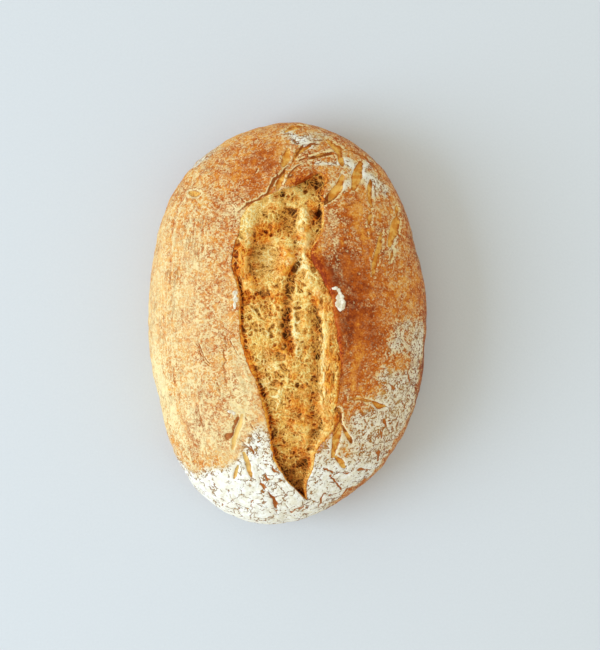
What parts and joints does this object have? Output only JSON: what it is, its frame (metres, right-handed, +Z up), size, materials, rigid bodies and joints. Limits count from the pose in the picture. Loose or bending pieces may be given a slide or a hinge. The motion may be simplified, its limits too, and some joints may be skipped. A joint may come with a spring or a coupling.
{
  "type": "sourdough loaf",
  "caption": "Oval free-standing sourdough loaf with a domed floury crust, torn open along its length to show the crumb, on a flat base.",
  "frame": {"origin": "on the flat base, at the middle of the box round the loaf", "axes": "+Y along the loaf, towards the end where the tear is widest, +X across it, +Z up out of the torn crust"},
  "size_m": [0.1874, 0.2704, 0.0891],
  "materials": {
    "crust": "matt baked crust, golden to chestnut brown, dusted with pale flour",
    "crumb": "matt open crumb, cream in the hollows and toasted gold on its strands",
    "flour": "dry matt white flour"
  },
  "bodies": {
    "root": {"loaf": "crust"}
  },
  "joints": []
}
